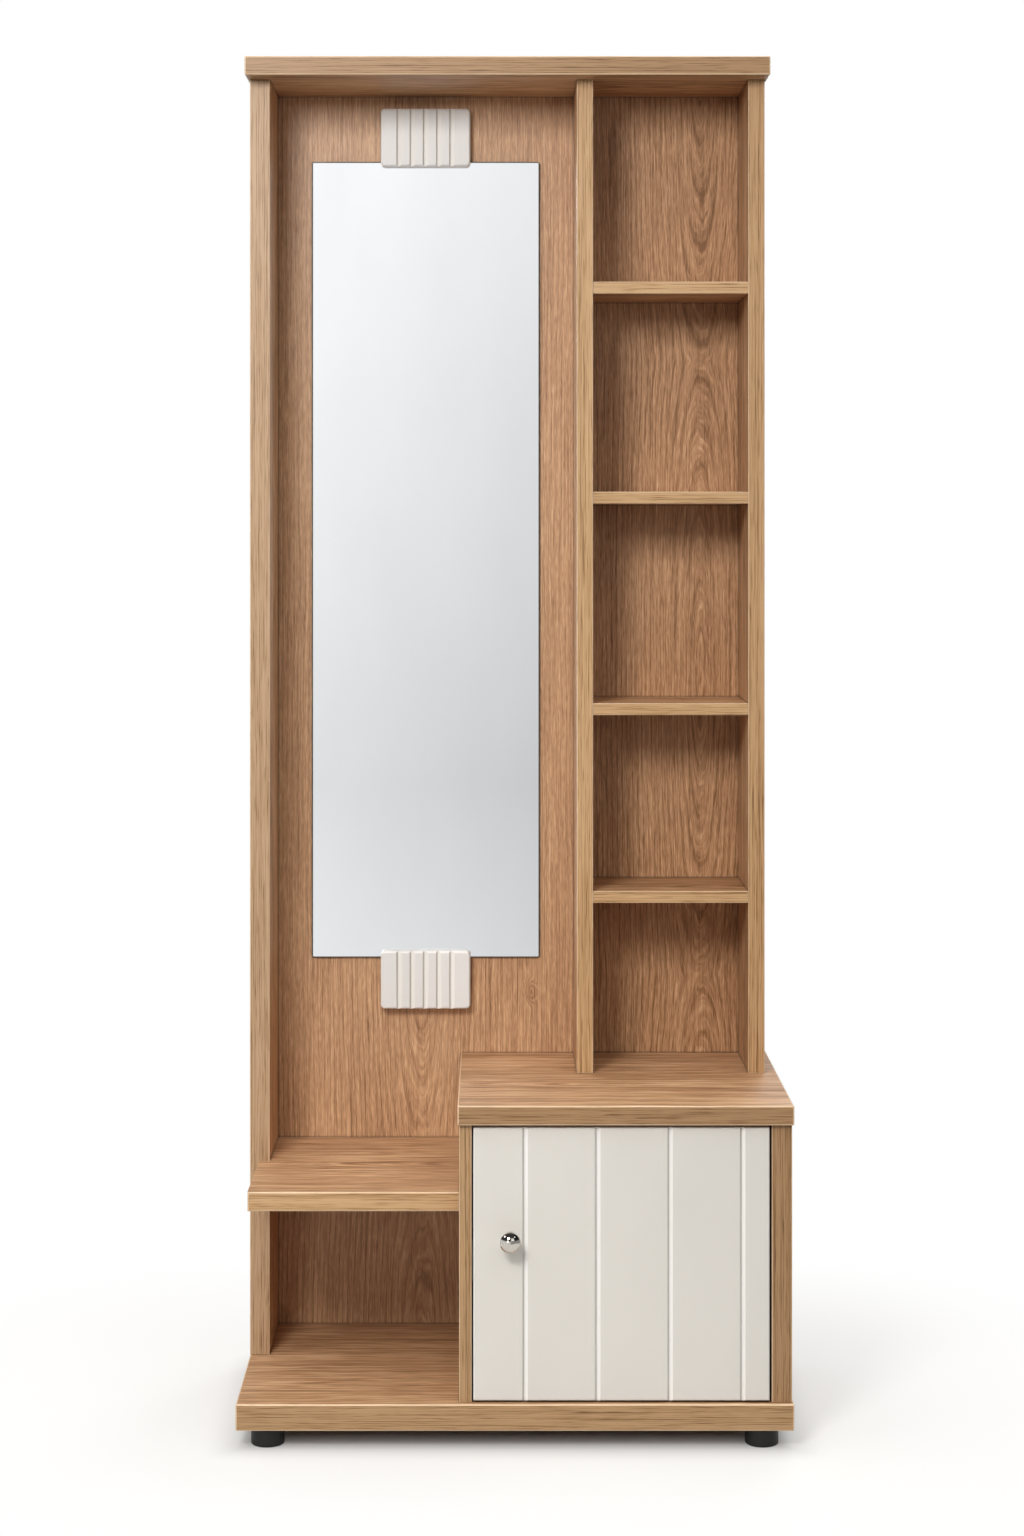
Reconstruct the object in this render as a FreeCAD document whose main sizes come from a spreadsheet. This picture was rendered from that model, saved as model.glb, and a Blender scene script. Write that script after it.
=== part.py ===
import FreeCAD, Part
import math
import os
import Sketcher
from types import SimpleNamespace

# Dressing unit: a tall mirror bay with an open shelf tower beside it, a low ledge and
# a small cabinet with one door, all on a thick base board with four round feet.
# X runs to the right, Y from the front to the back, Z up from the floor.

SIZES = {
    # base board and feet
    "base_width": 710.0,
    "base_depth": 380.0,
    "base_thick": 34.0,
    "foot_height": 24.0,
    "foot_radius": 21.5,
    "foot_inset": 39.0,
    "foot_front_inset": 29.5,
    "foot_round": 2.5,
    "foot_bore_depth": 9.0,
    "foot_bore_radius": 6.0,
    # uprights, top and back boards
    "left_side_thick": 26.5,
    "upright_depth": 165.0,
    "upright_height": 1338.0,
    "divider_place": 440.0,
    "divider_thick": 22.0,
    "right_side_thick": 22.0,
    "back_thick": 16.0,
    "top_thick": 25.0,
    "top_side_overhang": 4.0,
    "top_front_overhang": 40.0,
    # open shelves
    "shelf_bay_width": 209.0,
    "shelf_thick": 16.0,
    "shelf_set_back": 1.5,
    "clear_under_shelf_4": 229.0,
    "clear_under_shelf_3": 237.0,
    "clear_under_shelf_2": 269.0,
    "clear_under_shelf_1": 267.0,
    "shelf_back_thick": 6.0,
    "shelf_back_inset": 8.0,
    "shelf_back_tongue": 6.0,
    "shelf_back_play": 0.3,
    # ledge left of the cabinet
    "niche_height": 236.0,
    "ledge_thick": 25.0,
    "ledge_reach": 343.0,
    "ledge_inset": 12.0,
    # cabinet
    "cabinet_place": 284.0,
    "cabinet_left_thick": 16.0,
    "cabinet_right_thick": 26.0,
    "cabinet_inset": 2.0,
    "cabinet_set_back": 8.0,
    "cabinet_side_height": 354.0,
    "cabinet_top_thick": 25.0,
    "cabinet_top_overhang": 2.0,
    "cabinet_top_front_overhang": 8.0,
    # rounded arrises
    "board_round": 2.0,
    "panel_round": 1.0,
    # mirror, its tape and its brackets
    "mirror_width": 318.0,
    "mirror_height": 1112.0,
    "mirror_thick": 4.0,
    "mirror_rise": 134.0,
    "mirror_corner": 3.0,
    "mirror_arris": 1.5,
    "tape_thick": 1.5,
    "tape_width": 25.0,
    "tape_length": 300.0,
    "bracket_width": 125.0,
    "bracket_height": 80.0,
    "bracket_thick": 20.0,
    "bracket_overlap": 10.5,
    "upper_bracket_overlap": 7.5,
    "bracket_corner": 6.0,
    "bracket_round": 3.0,
    "bracket_play": 0.4,
    "bracket_screw_spacing": 70.0,
    "flute_pitch": 18.4,
    "flute_depth": 3.0,
    "flute_steep": 2.0,
    "flute_slope": 6.0,
    # door and knob
    "door_thick": 18.0,
    "door_gap_left": 2.0,
    "door_gap_right": 2.5,
    "door_gap_top": 4.0,
    "door_gap_bottom": 2.0,
    "door_round": 2.0,
    "groove_first": 66.0,
    "groove_pitch": 92.3,
    "groove_depth": 3.0,
    "groove_steep": 2.4,
    "groove_slope": 4.8,
    "knob_from_edge": 47.0,
    "knob_rise": 206.5,
    "knob_radius": 13.25,
    "knob_dome_radius": 16.5,
    "knob_head_depth": 9.0,
    "knob_rim_round": 1.2,
    "knob_back_radius": 10.0,
    "knob_back_length": 5.0,
    "knob_projection": 30.0,
    "knob_neck_radius": 5.5,
    "knob_foot_radius": 8.5,
    "knob_foot_thick": 2.5,
    "knob_screw_bite": 9.0,
    # hinges
    "hinge_inset": 60.0,
    "cup_edge": 22.5,
    "cup_radius": 17.5,
    "cup_depth": 12.5,
    "cup_wall": 1.0,
    "cup_floor": 0.7,
    "cup_flange_radius": 19.5,
    "cup_flange_thick": 1.2,
    "cup_wing_width": 14.0,
    "cup_wing_height": 62.0,
    "cup_screw_offset": 6.0,
    "cup_screw_spacing": 48.0,
    "pin_radius": 1.5,
    "pin_play": 0.05,
    "pin_seat_play": 0.02,
    "pin_from_back": 8.5,
    "eye_radius": 3.0,
    "arm_thick": 2.5,
    "arm_height": 10.0,
    "arm_reach": 26.0,
    "arm_neck": 27.0,
    "arm_length": 95.0,
    "arm_screw_place": 72.0,
    "plate_thick": 3.0,
    "plate_start": 48.0,
    "plate_length": 46.0,
    "plate_height": 48.0,
    "plate_screw_spacing": 32.0,
    # magnetic catch
    "catch_width": 14.0,
    "catch_depth": 16.0,
    "catch_height": 50.0,
    "catch_rise": 175.0,
    "catch_air": 0.3,
    "catch_ear": 4.0,
    "catch_screw_spacing": 36.0,
    "catch_screw_room": 4.0,
    "pole_thick": 1.5,
    "pole_height": 22.0,
    "pole_depth": 10.0,
    "pole_stand": 1.0,
    "magnet_thick": 5.4,
    "catch_play": 0.2,
    "strike_thick": 1.5,
    "strike_width": 10.0,
    "strike_height": 32.0,
    # joining hardware
    "carcass_head_radius": 5.0,
    "carcass_head_depth": 3.5,
    "carcass_shank_radius": 3.2,
    "carcass_socket": 2.3,
    "carcass_socket_depth": 2.5,
    "long_screw": 68.0,
    "short_screw": 48.0,
    "wood_head_radius": 4.0,
    "wood_head_depth": 2.4,
    "wood_shank_radius": 2.0,
    "wood_screw": 28.0,
    "small_head_radius": 3.4,
    "small_head_depth": 1.8,
    "small_shank_radius": 1.75,
    "small_screw": 13.0,
    "machine_head_radius": 3.8,
    "machine_head_depth": 2.0,
    "machine_shank_radius": 2.0,
    "slot_length": 2.2,
    "slot_width": 0.5,
    "slot_depth": 1.1,
    "dowel_radius": 4.0,
    "dowel_length": 30.0,
    "dowel_chamfer": 1.0,
    "cam_radius": 7.5,
    "cam_depth": 12.5,
    "cam_drop": 24.0,
    "cam_bolt_place": 8.0,
    "cam_bolt_radius": 3.0,
    "cam_bolt_bite": 11.0,
    "cam_bolt_tail": 3.0,
    "cap_radius": 6.5,
    "cap_thick": 1.2,
    "cap_chamfer": 0.5,
    # fits
    "hole_play": 0.1,
    "overrun": 5.0,
}

FLUTE_COUNT = 5
GROOVE_COUNT = 4
HINGE_OPENING_DEGREES = 100.0

# Places along a board, as shares of its length from its front, left or lower end.
depth_shares = (0.2, 0.6)
width_shares = (0.3, 0.7)
side_height_shares = (0.12, 0.4, 0.68, 0.94)
cabinet_height_shares = (0.25, 0.7)
cam_depth_shares = (0.2, 0.75)
dowel_depth_shares = (0.2, 0.75)
tape_width_shares = (0.25, 0.75)
tape_height_shares = (0.25, 0.75)
# The arm leaves the pin half an opening past square, so that it clears the cup both ways.
arm_across_share = math.sin(math.radians(HINGE_OPENING_DEGREES / 2))
arm_back_share = math.cos(math.radians(HINGE_OPENING_DEGREES / 2))
hexagon_shares = [(math.cos(math.radians(60 * k)), math.sin(math.radians(60 * k))) for k in range(6)]

doc = FreeCAD.newDocument("dressing_unit")
sheet = doc.addObject("Spreadsheet::Sheet", "Sizes")
for row, (name, number) in enumerate(SIZES.items(), start=1):
    sheet.set(f"A{row}", name)
    sheet.set(f"B{row}", str(number))
    sheet.setAlias(f"B{row}", name)
doc.recompute()


class Length:
    """A length written in the sheet's names, with its present value."""

    def __init__(self, text, value):
        self.text = text
        self.value = value

    def __add__(self, other):
        other = as_length(other)
        return Length(f"({self.text} + {other.text})", self.value + other.value)

    def __sub__(self, other):
        other = as_length(other)
        return Length(f"({self.text} - {other.text})", self.value - other.value)

    def __mul__(self, share):
        return Length(f"({self.text} * ({share:.9f}))", self.value * share)

    def __truediv__(self, share):
        return self * (1.0 / share)

    def __neg__(self):
        return self * -1


def as_length(thing):
    return thing if isinstance(thing, Length) else Length(f"{float(thing)}", float(thing))


s = SimpleNamespace(**{name: Length("Sizes." + name, number) for name, number in SIZES.items()})
ZERO = as_length(0)
UP = FreeCAD.Vector(0, 0, 1)
DOWN = FreeCAD.Vector(0, 0, -1)
LEFT = FreeCAD.Vector(-1, 0, 0)
RIGHT = FreeCAD.Vector(1, 0, 0)
FRONT = FreeCAD.Vector(0, -1, 0)
BACK = FreeCAD.Vector(0, 1, 0)
pieces = {}


def bind(thing, prop, length):
    thing.setExpression(prop, as_length(length).text)


def put(thing, spot, rotation=None):
    """Place a thing at a spot of three lengths, turned first."""
    if rotation is not None:
        thing.Placement = FreeCAD.Placement(FreeCAD.Vector(), rotation)
    for axis, length in zip("xyz", spot):
        bind(thing, f"Placement.Base.{axis}", length)
    return thing


def along(pair, share):
    return pair[0] + (pair[1] - pair[0]) * share


def middle(pair):
    return along(pair, 0.5)


def block(name, x, y, z):
    box = doc.addObject("Part::Box", name)
    for prop, pair in (("Length", x), ("Width", y), ("Height", z)):
        bind(box, prop, pair[1] - pair[0])
    return put(box, (x[0], y[0], z[0]))


def rod(name, spot, direction, radius, length):
    """A cylinder that starts at a spot and runs along a direction."""
    cylinder = doc.addObject("Part::Cylinder", name)
    bind(cylinder, "Radius", radius)
    bind(cylinder, "Height", length)
    return put(cylinder, spot, FreeCAD.Rotation(UP, direction))


def rounded(thing, radius, wanted, kind="Part::Fillet"):
    """Round the edges of a thing for which wanted(edge, box of thing) holds, or bevel them."""
    doc.recompute()
    box = thing.Shape.BoundBox
    eased = doc.addObject(kind, thing.Name + "_eased")
    eased.Base = thing
    picked = [n for n, edge in enumerate(thing.Shape.Edges, start=1) if wanted(edge, box)]
    eased.Edges = [(n, radius.value, radius.value) for n in picked]
    return eased


def same(a, b):
    return math.isclose(a, b, abs_tol=1e-6)


def on_front(edge, box):
    return all(same(v.Y, box.YMin) for v in edge.Vertexes)


def on_front_or_ends(edge, box):
    """The arrises of a lying board that show: all round its front and both ends."""
    xs = [v.X for v in edge.Vertexes]
    ends = all(same(x, box.XMin) for x in xs) or all(same(x, box.XMax) for x in xs)
    return on_front(edge, box) or (ends and same(*[v.Z for v in edge.Vertexes]))


def through_depth(edge, box):
    ys = [v.Y for v in edge.Vertexes]
    return same(min(ys), box.YMin) and same(max(ys), box.YMax)


def group(name, things):
    compound = doc.addObject("Part::Compound", name)
    compound.Links = things
    return compound


def cut(label, base, cutters):
    """Take the cutters out of the base, and keep the result as a piece."""
    tool = group(label + "_cutters", cutters)
    result = doc.addObject("Part::Cut", label)
    result.Base = base
    result.Tool = tool
    return keep(label, result)


def keep(label, thing):
    thing.Label = label
    pieces[label] = thing
    return thing


def plane(body, role):
    return next(o for o in body.Origin.OriginFeatures if o.Role == role)


def outline(body, name, role, points):
    """A closed outline on one of the body's own planes, each corner bound to the sheet."""
    sketch = body.newObject("Sketcher::SketchObject", name)
    sketch.AttachmentSupport = [(plane(body, role), "")]
    sketch.MapMode = "FlatFace"
    points = [(as_length(a), as_length(b)) for a, b in points]
    count = len(points)
    spots = [FreeCAD.Vector(a.value, b.value, 0) for a, b in points]
    for k in range(count):
        sketch.addGeometry(Part.LineSegment(spots[k], spots[(k + 1) % count]), False)
    for k in range(count):
        sketch.addConstraint(Sketcher.Constraint("Coincident", k, 2, (k + 1) % count, 1))
    for k, corner in enumerate(points):
        for kind, length in zip(("DistanceX", "DistanceY"), corner):
            number = sketch.addConstraint(Sketcher.Constraint(kind, -1, 1, k, 1, length.value))
            sketch.setExpression(f"Constraints[{number}]", length.text)
    return sketch


def ring(body, name, role, radius):
    """A circle about the body's own origin."""
    sketch = body.newObject("Sketcher::SketchObject", name)
    sketch.AttachmentSupport = [(plane(body, role), "")]
    sketch.MapMode = "FlatFace"
    sketch.addGeometry(Part.Circle(FreeCAD.Vector(), UP, radius.value), False)
    sketch.addConstraint(Sketcher.Constraint("Coincident", 0, 3, -1, 1))
    number = sketch.addConstraint(Sketcher.Constraint("Radius", 0, radius.value))
    sketch.setExpression(f"Constraints[{number}]", radius.text)
    return sketch


def turned(name, points):
    """A body turned about its own Z from corners given as radius and height."""
    body = doc.addObject("PartDesign::Body", name)
    turn = body.newObject("PartDesign::Revolution", name + "_turn")
    turn.Profile = outline(body, name + "_outline", "XZ_Plane", points)
    turn.ReferenceAxis = (turn.Profile[0], ["V_Axis"])
    turn.Angle = 360
    body.Tip = turn
    return body


def recess(body, points, depth):
    """Sink a driver's recess into the top of a turned body."""
    doc.recompute()
    before = body.Shape.Volume
    pocket = body.newObject("PartDesign::Pocket", body.Name + "_recess")
    pocket.Profile = outline(body, body.Name + "_recess_outline", "XY_Plane", points)
    bind(pocket, "Length", depth)
    body.Tip = pocket
    doc.recompute()
    if body.Shape.Volume >= before:
        raise RuntimeError("the recess of " + body.Name + " cuts nothing")


def cross_points():
    a = s.slot_length
    b = s.slot_width
    return [(a, -b), (a, b), (b, b), (b, a), (-b, a), (-b, b),
            (-a, b), (-a, -b), (-b, -b), (-b, -a), (b, -a), (b, -b)]


def flush_screw(name, head, head_depth, shank, length):
    """A countersunk screw with the top of its head at its origin, and the hole for it."""
    body = turned(name, [(0, 0), (head, 0), (shank, -head_depth), (shank, shank - length), (0, -length)])
    hole = turned(name + "_hole", [
        (0, s.overrun), (head + s.hole_play, s.overrun), (head + s.hole_play, 0),
        (shank + s.hole_play, -head_depth), (shank + s.hole_play, -length - s.hole_play),
        (0, -length - s.hole_play)])
    return SimpleNamespace(body=body, hole=hole, stand=ZERO)


def pan_screw(name, head, head_depth, shank, length):
    """A screw whose flat head stands on the surface, and the hole for it."""
    end = -head_depth - length
    body = turned(name, [(0, 0), (head, 0), (head, -head_depth), (shank, -head_depth), (shank, end),
                         (0, end)])
    wide = shank + s.hole_play
    hole = turned(name + "_hole", [
        (0, s.overrun - head_depth), (wide, s.overrun - head_depth), (wide, end - s.hole_play),
        (0, end - s.hole_play)])
    return SimpleNamespace(body=body, hole=hole, stand=head_depth)


def copies(name, body, spots, rotation):
    links = []
    for n, spot in enumerate(spots, start=1):
        link = doc.addObject("App::Link", f"{name}_{n}")
        link.LinkedObject = body
        links.append(put(link, spot, rotation))
    return links


def raised(spot, direction, length):
    return [place + length * step for place, step in zip(spot, direction)]


def driven(kind, name, rows):
    """Copies of a fastener, and the holes for them, from rows of (way its head faces, spots)."""
    fasteners, holes = [], []
    for n, (facing, spots) in enumerate(rows, start=1):
        turn = FreeCAD.Rotation(UP, facing)
        spots = [[as_length(part) for part in spot] for spot in spots]
        tops = [raised(spot, facing, kind.stand) for spot in spots]
        fasteners += copies(f"{name}_row_{n}", kind.body, tops, turn)
        holes += copies(f"{name}_hole_row_{n}", kind.hole, tops, turn)
    keep(name, group(name, fasteners))
    return group(name + "_holes", holes)


# Main planes of the unit
base_left = (s.top_side_overhang - s.base_width) / 2
base_right = base_left + s.base_width
rear = (s.base_depth - s.cabinet_set_back + s.knob_projection) / 2
base_front = rear - s.base_depth
base_under = s.foot_height
base_over = base_under + s.base_thick
cabinet_front = base_front + s.cabinet_set_back
cabinet_over = base_over + s.cabinet_side_height
worktop_over = cabinet_over + s.cabinet_top_thick
top_under = worktop_over + s.upright_height
upright_front = rear - s.upright_depth
back_front = rear - s.back_thick
left_inner = base_left + s.left_side_thick
divider_left = base_left + s.divider_place
divider_right = divider_left + s.divider_thick
right_inner = divider_right + s.shelf_bay_width
right_outer = right_inner + s.right_side_thick
cabinet_left = base_left + s.cabinet_place
cabinet_left_inner = cabinet_left + s.cabinet_left_thick
cabinet_right = base_right - s.cabinet_inset
cabinet_right_inner = cabinet_right - s.cabinet_right_thick
ledge_under = base_over + s.niche_height
ledge_over = ledge_under + s.ledge_thick
ledge_front = rear - s.ledge_reach
shelf_rear = rear - s.shelf_back_inset - s.shelf_back_thick
shelf_front = upright_front + s.shelf_set_back

# Spans of the boards, low end and high end of each
upright_y = (upright_front, rear)
back_y = (back_front, rear)
left_x = (base_left, left_inner)
divider_x = (divider_left, divider_right)
right_x = (right_inner, right_outer)
mirror_bay_x = (left_inner, divider_left)
cabinet_left_x = (cabinet_left, cabinet_left_inner)
cabinet_right_x = (cabinet_right_inner, cabinet_right)
cabinet_left_y = (cabinet_front, back_front)
cabinet_right_y = (cabinet_front, rear)
cabinet_z = (base_over, cabinet_over)
worktop_z = (cabinet_over, worktop_over)
worktop_x = (cabinet_left - s.cabinet_top_overhang, cabinet_right + s.cabinet_top_overhang)
ledge_x = (base_left + s.ledge_inset, cabinet_left)
ledge_y = (ledge_front, back_front)
ledge_z = (ledge_under, ledge_over)
left_z = (base_over, top_under)
tower_z = (worktop_over, top_under)
top_over = top_under + s.top_thick
shelf_y = (shelf_front, shelf_rear)
shelf_x = (divider_right, right_inner)
shelf_spans = {}
under = worktop_over
for number in (4, 3, 2, 1):
    under = under + getattr(s, f"clear_under_shelf_{number}")
    shelf_spans[number] = (under, under + s.shelf_thick)
    under = under + s.shelf_thick

# Door planes, and the hinge axis inside its cups
door_x = (cabinet_left_inner + s.door_gap_left, cabinet_right_inner - s.door_gap_right)
door_y = (cabinet_front, cabinet_front + s.door_thick)
door_z = (base_over + s.door_gap_bottom, cabinet_over - s.door_gap_top)
hinge_x = door_x[1] - s.cup_edge
hinge_y = door_y[1] - s.pin_from_back
hinge_heights = {"upper": door_z[1] - s.hinge_inset, "lower": door_z[0] + s.hinge_inset}
hinge_side = s.cup_edge + s.door_gap_right

# Fasteners and their holes
long_screw = flush_screw("long_carcass_screw", s.carcass_head_radius, s.carcass_head_depth,
                         s.carcass_shank_radius, s.long_screw)
short_screw = flush_screw("short_carcass_screw", s.carcass_head_radius, s.carcass_head_depth,
                          s.carcass_shank_radius, s.short_screw)
wood_screw = flush_screw("wood_screw_model", s.wood_head_radius, s.wood_head_depth,
                         s.wood_shank_radius, s.wood_screw)
small_flush = flush_screw("small_flush_screw", s.small_head_radius, s.small_head_depth,
                          s.small_shank_radius, s.small_screw)
small_pan = pan_screw("small_pan_screw", s.small_head_radius, s.small_head_depth,
                      s.small_shank_radius, s.small_screw)
arm_bolt = pan_screw("arm_bolt_model", s.machine_head_radius, s.machine_head_depth,
                     s.machine_shank_radius, s.arm_thick + s.plate_thick)
knob_bolt = pan_screw("knob_bolt_model", s.machine_head_radius, s.machine_head_depth,
                      s.machine_shank_radius, s.door_thick + s.knob_screw_bite)
hexagon = [(s.carcass_socket * a, s.carcass_socket * b) for a, b in hexagon_shares]
for kind in (long_screw, short_screw):
    recess(kind.body, hexagon, s.carcass_socket_depth)
for kind in (wood_screw, small_flush, small_pan, arm_bolt, knob_bolt):
    recess(kind.body, cross_points(), s.slot_depth)

half_dowel = s.dowel_length / 2
dowel_slim = s.dowel_radius - s.dowel_chamfer
dowel = SimpleNamespace(stand=ZERO, body=turned("dowel_model", [
    (0, half_dowel), (dowel_slim, half_dowel), (s.dowel_radius, half_dowel - s.dowel_chamfer),
    (s.dowel_radius, s.dowel_chamfer - half_dowel), (dowel_slim, -half_dowel), (0, -half_dowel)]))
dowel_wide = s.dowel_radius + s.hole_play
dowel_deep = half_dowel + s.hole_play
dowel.hole = turned("dowel_hole", [
    (0, dowel_deep), (dowel_wide, dowel_deep), (dowel_wide, -dowel_deep), (0, -dowel_deep)])

base_screw_spots = []
for x, y in ((left_x, upright_y), (cabinet_left_x, cabinet_left_y), (cabinet_right_x, cabinet_right_y)):
    base_screw_spots += [(middle(x), along(y, share), base_under) for share in depth_shares]
for x in (mirror_bay_x, (divider_left, cabinet_right_inner)):
    base_screw_spots += [(along(x, share), middle(back_y), base_under) for share in width_shares]
base_holes = driven(long_screw, "base_screws", [(DOWN, base_screw_spots)])

top_screw_spots = []
for x in (left_x, divider_x, right_x):
    top_screw_spots += [(middle(x), along(upright_y, share), top_over) for share in depth_shares]
top_screw_spots += [(along(mirror_bay_x, share), middle(back_y), top_over) for share in width_shares]
top_holes = driven(short_screw, "top_screws", [(UP, top_screw_spots)])

left_screw_spots = [(base_left, middle(back_y), along(left_z, share)) for share in side_height_shares]
left_screw_spots += [(base_left, along(upright_y, share), middle(ledge_z)) for share in depth_shares]
left_holes = driven(short_screw, "left_side_screws", [(LEFT, left_screw_spots)])

right_screw_spots = [(cabinet_right, middle(back_y), along(cabinet_z, share))
                     for share in cabinet_height_shares]
right_holes = driven(short_screw, "cabinet_side_screws", [(RIGHT, right_screw_spots)])

ledge_holes = driven(short_screw, "ledge_screws", [
    (RIGHT, [(cabinet_left_inner, along(ledge_y, share), middle(ledge_z)) for share in depth_shares])])

back_spots = [(along((left_inner, cabinet_left), share), rear, middle(ledge_z)) for share in width_shares]
back_spots += [(along((cabinet_left, divider_left), share), rear, middle(worktop_z))
               for share in width_shares]
back_spots += [(middle(cabinet_left_x), rear, along(cabinet_z, share)) for share in cabinet_height_shares]
back_holes = driven(short_screw, "back_screws", [(BACK, back_spots)])

shelf_dowel_spots = []
for number, span in shelf_spans.items():
    for x in shelf_x:
        shelf_dowel_spots += [(x, along(shelf_y, share), middle(span)) for share in dowel_depth_shares]
shelf_dowel_holes = driven(dowel, "shelf_dowels", [(RIGHT, shelf_dowel_spots)])
upright_dowel_spots = []
for x in (divider_x, right_x):
    upright_dowel_spots += [(middle(x), along(upright_y, share), worktop_over)
                            for share in dowel_depth_shares]
upright_dowel_holes = driven(dowel, "upright_dowels", [(UP, upright_dowel_spots)])

# Cam locks that draw the cabinet top down on both cabinet sides
cam_reach = s.cam_radius + s.overrun
bolt_wide = s.cam_bolt_radius + s.hole_play
cam_wide = s.cam_radius + s.hole_play
cam_blank = turned("cam_blank", [(0, 0), (s.cam_radius, 0), (s.cam_radius, -s.cam_depth), (0, -s.cam_depth)])
recess(cam_blank, cross_points(), s.slot_depth)
cam_slot = rod("cam_slot", (-cam_reach, ZERO, -s.cam_bolt_place), RIGHT, bolt_wide, cam_reach * 2)
cam_model = doc.addObject("Part::Cut", "cam_model")
cam_model.Base = cam_blank
cam_model.Tool = cam_slot
cam_hole = turned("cam_hole", [(0, s.overrun), (cam_wide, s.overrun), (cam_wide, -s.cam_depth - s.hole_play),
                               (0, -s.cam_depth - s.hole_play)])
bolt_low = -s.cam_drop - s.cam_bolt_tail
bolt_model = turned("cam_bolt_model", [
    (0, s.cam_bolt_bite), (s.cam_bolt_radius, s.cam_bolt_bite), (s.cam_bolt_radius, bolt_low), (0, bolt_low)])
bolt_hole = turned("cam_bolt_hole", [
    (0, s.cam_bolt_bite + s.hole_play), (bolt_wide, s.cam_bolt_bite + s.hole_play),
    (bolt_wide, bolt_low - s.hole_play), (0, bolt_low - s.hole_play)])
cam_height = cabinet_over - s.cam_drop
left_cam_rows = [along(cabinet_left_y, share) for share in cam_depth_shares]
right_cam_rows = [along(cabinet_right_y, share) for share in cam_depth_shares]
left_cams = [(cabinet_left_inner, y, cam_height) for y in left_cam_rows]
right_cams = [(cabinet_right_inner, y, cam_height) for y in right_cam_rows]
bolt_spots = [(cabinet_left_inner - s.cam_bolt_place, y, cabinet_over) for y in left_cam_rows]
bolt_spots += [(cabinet_right_inner + s.cam_bolt_place, y, cabinet_over) for y in right_cam_rows]
facing_right = FreeCAD.Rotation(FreeCAD.Vector(0, 1, 0), 90)
facing_left = FreeCAD.Rotation(FreeCAD.Vector(0, 1, 0), -90)
keep("cam_locks", group("cam_locks", copies("left_cam", cam_model, left_cams, facing_right)
                        + copies("right_cam", cam_model, right_cams, facing_left)))
keep("cam_bolts", group("cam_bolts", copies("cam_bolt", bolt_model, bolt_spots, None)))
cam_holes = group("cam_holes", copies("left_cam_hole", cam_hole, left_cams, facing_right)
                  + copies("right_cam_hole", cam_hole, right_cams, facing_left))
bolt_holes = group("cam_bolt_holes", copies("cam_bolt_bore", bolt_hole, bolt_spots, None))

# Plastic caps over the screw heads on the outer sides
cap_model = turned("cap_model", [
    (0, 0), (s.cap_radius, 0), (s.cap_radius, s.cap_thick - s.cap_chamfer),
    (s.cap_radius - s.cap_chamfer, s.cap_thick), (0, s.cap_thick)])
keep("screw_caps", group("screw_caps", copies("left_cap", cap_model, left_screw_spots, facing_left)
                         + copies("right_cap", cap_model, right_screw_spots, facing_right)))

# Feet, each held by one screw sunk in its bore
foot_spots = {
    "front_left": (base_left + s.foot_inset, base_front + s.foot_front_inset),
    "front_right": (base_right - s.foot_inset, base_front + s.foot_front_inset),
    "rear_left": (base_left + s.foot_inset, rear - s.foot_inset),
    "rear_right": (base_right - s.foot_inset, rear - s.foot_inset),
}
foot_holes = driven(wood_screw, "foot_screws", [
    (DOWN, [(x, y, s.foot_bore_depth) for x, y in foot_spots.values()])])


def at_floor(edge, box):
    return all(same(v.Z, box.ZMin) for v in edge.Vertexes)


for place, (x, y) in foot_spots.items():
    blank = rod(f"foot_{place}_blank", (x, y, ZERO), UP, s.foot_radius, s.foot_height)
    bore = rod(f"foot_{place}_bore", (x, y, -s.overrun), UP, s.foot_bore_radius,
               s.foot_bore_depth + s.overrun)
    cut(f"foot_{place}", rounded(blank, s.foot_round, at_floor), [bore, foot_holes])

# Boards of the carcass
base_blank = block("base_blank", (base_left, base_right), (base_front, rear), (base_under, base_over))
cut("base_board", rounded(base_blank, s.board_round, on_front_or_ends), [base_holes, foot_holes])

left_blank = block("left_side_blank", left_x, upright_y, left_z)
cut("left_side", rounded(left_blank, s.panel_round, on_front), [base_holes, top_holes, left_holes])

ledge_blank = block("ledge_blank", ledge_x, ledge_y, ledge_z)
ledge_notch = block("ledge_notch", (base_left, left_inner), (upright_front, rear),
                    (ledge_under - s.overrun, ledge_over + s.overrun))
cut("ledge", rounded(ledge_blank, s.board_round, on_front),
    [ledge_notch, left_holes, ledge_holes, back_holes])

cabinet_left_blank = block("cabinet_left_blank", cabinet_left_x, cabinet_left_y, cabinet_z)
cabinet_right_blank = block("cabinet_right_blank", cabinet_right_x, cabinet_right_y, cabinet_z)
cabinet_back_blank = block("cabinet_back_blank", (divider_left, cabinet_right_inner), back_y, cabinet_z)
worktop_y = (cabinet_front - s.cabinet_top_front_overhang, rear)
worktop_blank = block("worktop_blank", worktop_x, worktop_y, worktop_z)
worktop_notch = block("worktop_notch", (worktop_x[0] - s.overrun, divider_left),
                      (back_front, rear + s.overrun), (cabinet_over - s.overrun, worktop_over + s.overrun))
cut("cabinet_back", cabinet_back_blank, [base_holes, right_holes])
cut("cabinet_top", rounded(worktop_blank, s.board_round, on_front_or_ends),
    [worktop_notch, upright_dowel_holes, bolt_holes, back_holes])

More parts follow.
